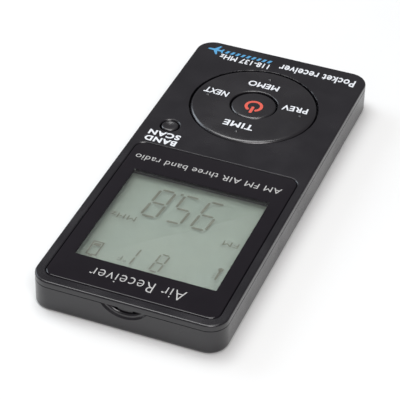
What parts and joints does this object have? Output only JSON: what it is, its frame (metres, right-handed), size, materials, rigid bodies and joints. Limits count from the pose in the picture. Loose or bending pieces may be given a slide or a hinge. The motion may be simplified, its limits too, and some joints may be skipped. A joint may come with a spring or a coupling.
{
  "type": "handheld air band receiver",
  "caption": "Slim pocket aircraft band receiver: two-shell case, square display under a gloss lens, four-way rocker ring round a power button, small band button, side volume keys.",
  "frame": {"origin": "centre of the flat back face, which the radio rests on", "axes": "+X to the right across the face, +Y towards the display end, +Z out of the face"},
  "size_m": [0.045, 0.104, 0.0086],
  "materials": {
    "shell_black": "fine satin moulding texture",
    "lens_gloss": "polished acrylic with a printed border",
    "adhesive": "double-sided tape",
    "lcd_cell": "reflective liquid crystal cell",
    "grey_plastic": "moulded",
    "white_plastic": "diffusing",
    "led_bar": "clear resin",
    "silicone": "soft matte",
    "circuit_board": "solder mask",
    "chip_black": "moulded resin",
    "tinned_steel": "tin plated",
    "switch_steel": "bright stamped steel",
    "cell_foil": "laminated foil",
    "ferrite": "sintered",
    "copper_wire": "enamelled wire",
    "key_black": "satin",
    "print_white": "screen-printed ink",
    "print_red": "screen-printed ink",
    "print_blue": "screen-printed ink",
    "screw_steel": "black zinc plated"
  },
  "bodies": {
    "housing": {"front_shell": "shell_black", "back_shell": "shell_black", "display_lens": "lens_gloss", "lens_adhesive": "adhesive", "lcd_glass": "lcd_cell", "lcd_frame": "grey_plastic", "light_guide": "white_plastic", "backlight_leds": "led_bar", "lcd_connector_strip": "silicone", "main_board": "circuit_board", "switch_time": "switch_steel", "switch_memo": "switch_steel", "switch_prev": "switch_steel", "switch_next": "switch_steel", "switch_power": "switch_steel", "switch_band": "switch_steel", "switch_volume_up": "switch_steel", "switch_volume_down": "switch_steel", "tuner_shield": "tinned_steel", "control_chip": "chip_black", "audio_amplifier": "chip_black", "clock_crystal": "tinned_steel", "temperature_sensor": "chip_black", "charge_controller": "chip_black", "battery_pack": "cell_foil", "ferrite_bar": "ferrite", "aerial_coil": "copper_wire", "earphone_jack": "chip_black", "micro_usb_socket": "tinned_steel", "case_screw_1": "screw_steel", "case_screw_2": "screw_steel", "case_screw_3": "screw_steel", "case_screw_4": "screw_steel"},
    "ring_carrier": {"ring_pivot_collar": "silicone"},
    "rocker_ring": {"nav_ring": "key_black"},
    "power_key": {"power_button": "key_black"},
    "band_key": {"band_button": "key_black"},
    "volume_up": {"volume_up_key": "key_black"},
    "volume_down": {"volume_down_key": "key_black"}
  },
  "joints": [
    {"name": "ring_rock_time_memo", "type": "hinge", "parent": "housing", "child": "ring_carrier", "pos_m": [0, -0.0283, 0.0056], "axis": [1, 0, 0], "range_deg": [-1.2, 1.2], "stiffness_Nm_per_rad": 0.6},
    {"name": "ring_rock_prev_next", "type": "hinge", "parent": "ring_carrier", "child": "rocker_ring", "pos_m": [0, -0.0283, 0.0056], "axis": [0, 1, 0], "range_deg": [-1.2, 1.2], "stiffness_Nm_per_rad": 0.6},
    {"name": "power_press", "type": "slide", "parent": "housing", "child": "power_key", "axis": [0, 0, -1], "range_m": [0, 0.0003], "stiffness_N_per_m": 1500, "springref_m": -0.0001},
    {"name": "band_press", "type": "slide", "parent": "housing", "child": "band_key", "axis": [0, 0, -1], "range_m": [0, 0.0003], "stiffness_N_per_m": 1500, "springref_m": -0.0001},
    {"name": "volume_up_press", "type": "slide", "parent": "housing", "child": "volume_up", "axis": [-1, 0, 0], "range_m": [0, 0.00028], "stiffness_N_per_m": 1500, "springref_m": -0.0001},
    {"name": "volume_down_press", "type": "slide", "parent": "housing", "child": "volume_down", "axis": [-1, 0, 0], "range_m": [0, 0.00028], "stiffness_N_per_m": 1500, "springref_m": -0.0001}
  ]
}
